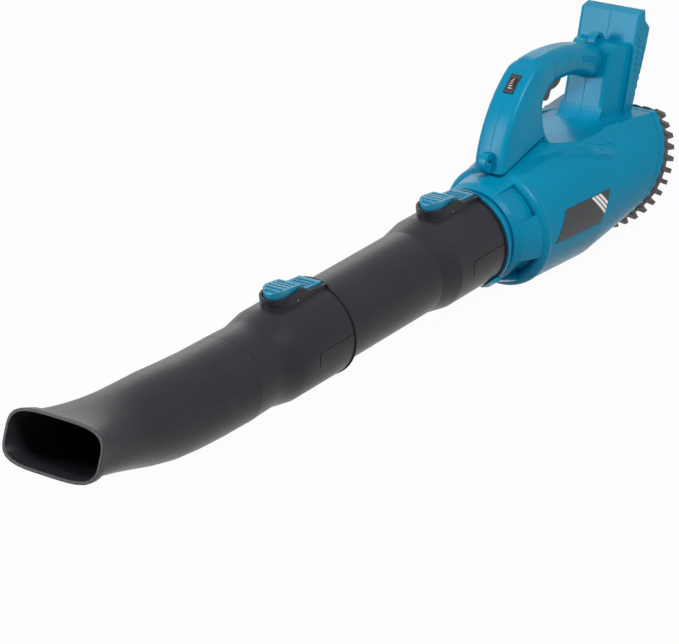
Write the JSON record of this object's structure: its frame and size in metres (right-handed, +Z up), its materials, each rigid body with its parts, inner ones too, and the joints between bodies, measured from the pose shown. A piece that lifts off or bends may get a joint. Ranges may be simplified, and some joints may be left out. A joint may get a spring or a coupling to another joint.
{
  "type": "handheld cordless leaf blower",
  "caption": "Cordless leaf blower: a tapered fan housing with an arched handle, a battery seat, a radial intake grille and a latched tube with a flared, upturned nozzle.",
  "frame": {"origin": "centre of the overall length and width, on the plane of the flat foot under the fan housing", "axes": "+X from the nozzle to the air intake, along the duct axis; +Y to the side away from the label; +Z up"},
  "size_m": [0.9508, 0.1712, 0.2415],
  "materials": {
    "teal_plastic": "satin",
    "light_teal_plastic": "satin",
    "black_tube_plastic": "satin",
    "grille_plastic": "satin",
    "black_plastic": "satin",
    "label_film": "satin",
    "brass": "satin",
    "board": "matt",
    "aluminium": "satin",
    "steel": "satin"
  },
  "bodies": {
    "main": {"barrel_shell_left": "teal_plastic", "barrel_shell_right": "teal_plastic", "handle_shell_left": "teal_plastic", "handle_shell_right": "teal_plastic", "outlet_collar": "teal_plastic", "intake_grille": "grille_plastic", "trigger_pin": "steel", "trigger_spring": "steel", "trigger_switch": "black_plastic", "dial_bezel": "black_plastic", "dial_potentiometer": "aluminium", "front_strap_eye": "teal_plastic", "rear_strap_eye": "teal_plastic", "terminal_block": "black_plastic", "battery_terminals": "brass", "control_board": "board", "board_heatsink": "aluminium", "fan_duct": "black_plastic", "motor_can": "steel", "motor_end_cap": "black_plastic", "front_bearing": "steel", "rear_bearing": "steel", "label_plate": "label_film", "barrel_screws": "steel", "handle_screws": "steel", "grille_screws": "steel"},
    "tube": {"extension_tube": "black_tube_plastic", "tube_latch_pin": "steel", "tube_latch_spring": "steel"},
    "tube_latch": {"tube_latch": "light_teal_plastic"},
    "nozzle": {"nozzle": "black_tube_plastic", "nozzle_latch_pin": "steel", "nozzle_latch_spring": "steel"},
    "nozzle_latch": {"nozzle_latch": "light_teal_plastic"},
    "fan": {"fan_rotor": "black_plastic", "fan_nut": "brass", "motor_shaft": "steel", "motor_armature": "steel"},
    "trigger": {"trigger": "black_plastic"},
    "speed_dial": {"speed_dial": "black_plastic"}
  },
  "joints": [
    {"name": "tube_slide", "type": "slide", "parent": "main", "child": "tube", "axis": [-1, 0, 0], "range_m": [0, 0.064]},
    {"name": "nozzle_slide", "type": "slide", "parent": "tube", "child": "nozzle", "axis": [-1, 0, 0], "range_m": [0, 0.064]},
    {"name": "tube_latch_press", "type": "hinge", "parent": "tube", "child": "tube_latch", "pos_m": [0.13056, 0, 0.1244], "axis": [0, -1, 0], "range_deg": [0, 6], "stiffness_Nm_per_rad": 1.5, "springref_deg": -6.88, "deforming": ["tube_latch_spring"]},
    {"name": "nozzle_latch_press", "type": "hinge", "parent": "nozzle", "child": "nozzle_latch", "pos_m": [-0.12544, 0, 0.1244], "axis": [0, -1, 0], "range_deg": [0, 6], "stiffness_Nm_per_rad": 1.5, "springref_deg": -6.88, "deforming": ["nozzle_latch_spring"]},
    {"name": "fan_spin", "type": "hinge", "parent": "main", "child": "fan", "pos_m": [0.34856, 0, 0.074], "axis": [1, 0, 0], "continuous": true},
    {"name": "trigger_pull", "type": "hinge", "parent": "main", "child": "trigger", "pos_m": [0.34156, 0, 0.205], "axis": [0, 1, 0], "range_deg": [0, 8], "stiffness_Nm_per_rad": 1.2, "springref_deg": -8.59, "deforming": ["trigger_spring"]},
    {"name": "dial_turn", "type": "hinge", "parent": "main", "child": "speed_dial", "pos_m": [0.2749, 0, 0.20771], "axis": [0, 1, 0], "range_deg": [-135, 135]}
  ]
}
